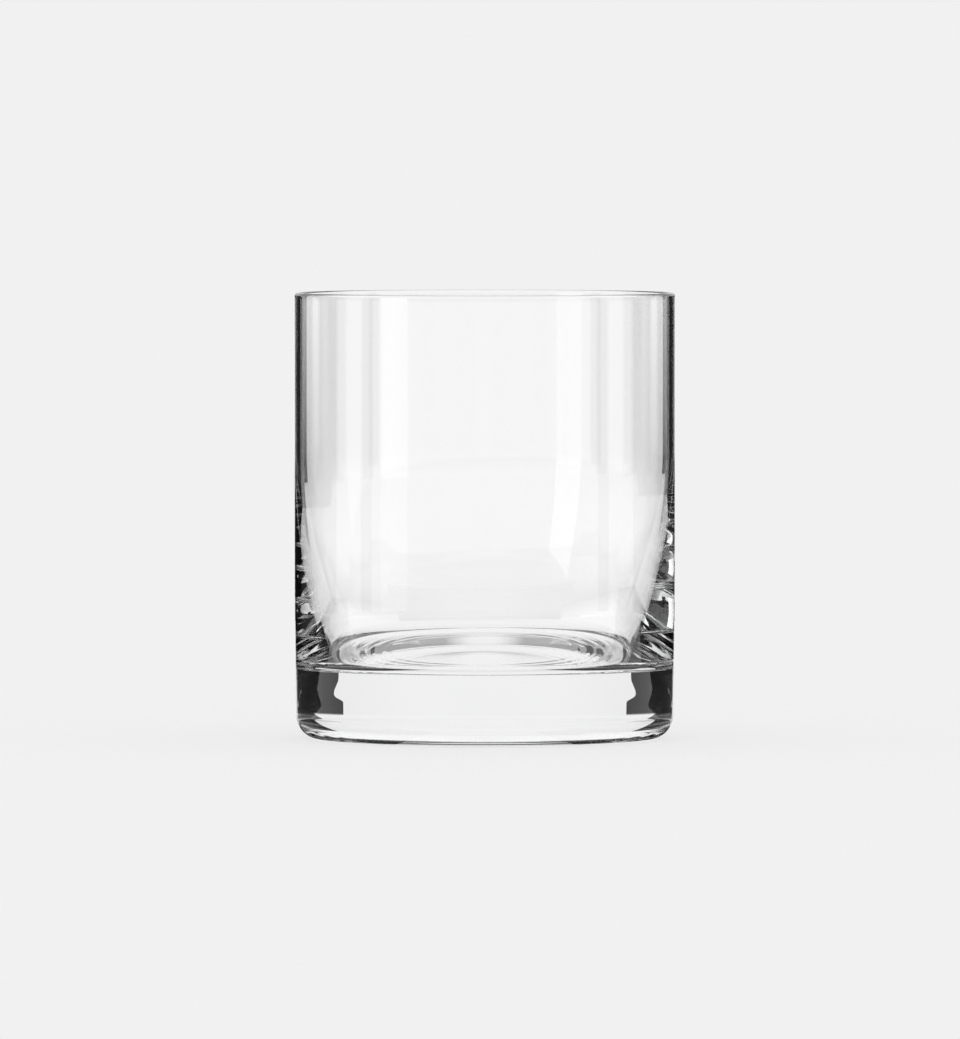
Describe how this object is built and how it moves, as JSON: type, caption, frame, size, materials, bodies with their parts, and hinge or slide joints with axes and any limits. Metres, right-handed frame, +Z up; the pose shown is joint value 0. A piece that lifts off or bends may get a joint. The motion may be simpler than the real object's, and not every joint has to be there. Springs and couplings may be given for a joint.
{
  "type": "whisky tumbler",
  "caption": "Straight-sided clear glass tumbler with a thin round lip, a wall that swells towards the floor and a thick solid base.",
  "frame": {"origin": "centre of the ring that the glass stands on, on the table", "axes": "+Z up along the axis of the glass, through the middle of the mouth"},
  "size_m": [0.08, 0.08, 0.0937],
  "materials": {
    "clear_glass": "clear, colourless, fire polished"
  },
  "bodies": {
    "root": {"glass_body": "clear_glass"}
  },
  "joints": []
}
